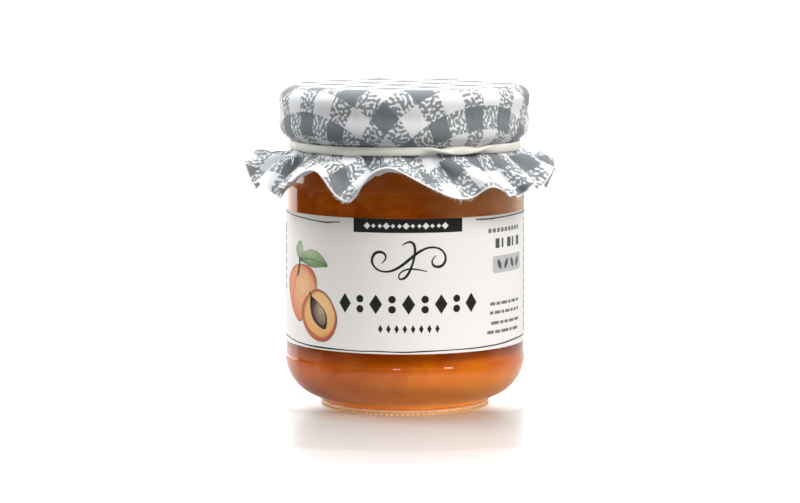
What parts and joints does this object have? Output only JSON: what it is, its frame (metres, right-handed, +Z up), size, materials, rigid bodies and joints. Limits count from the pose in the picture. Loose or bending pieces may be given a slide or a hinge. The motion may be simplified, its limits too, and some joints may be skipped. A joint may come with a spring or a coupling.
{
  "type": "jam jar",
  "caption": "Shut round glass jar of jam with a wrap-around paper label, its lid under a round checked cloth tied on with a rubber band.",
  "frame": {"origin": "middle of the glass ring that the jar stands on, at floor level", "axes": "+Z up along the jar's axis, the middle of the label facing -Y, +X to the right of the label"},
  "size_m": [0.0865, 0.0869, 0.0876],
  "materials": {
    "glass": "gloss",
    "jam": "gloss",
    "lid_paint": "gloss",
    "label_paper": "matte",
    "band_rubber": "satin",
    "checked_cotton": "matte"
  },
  "bodies": {
    "root": {"glass_jar": "glass", "jam": "jam", "lid": "lid_paint", "label": "label_paper", "rubber_band": "band_rubber", "cloth_cover": "checked_cotton"}
  },
  "joints": []
}
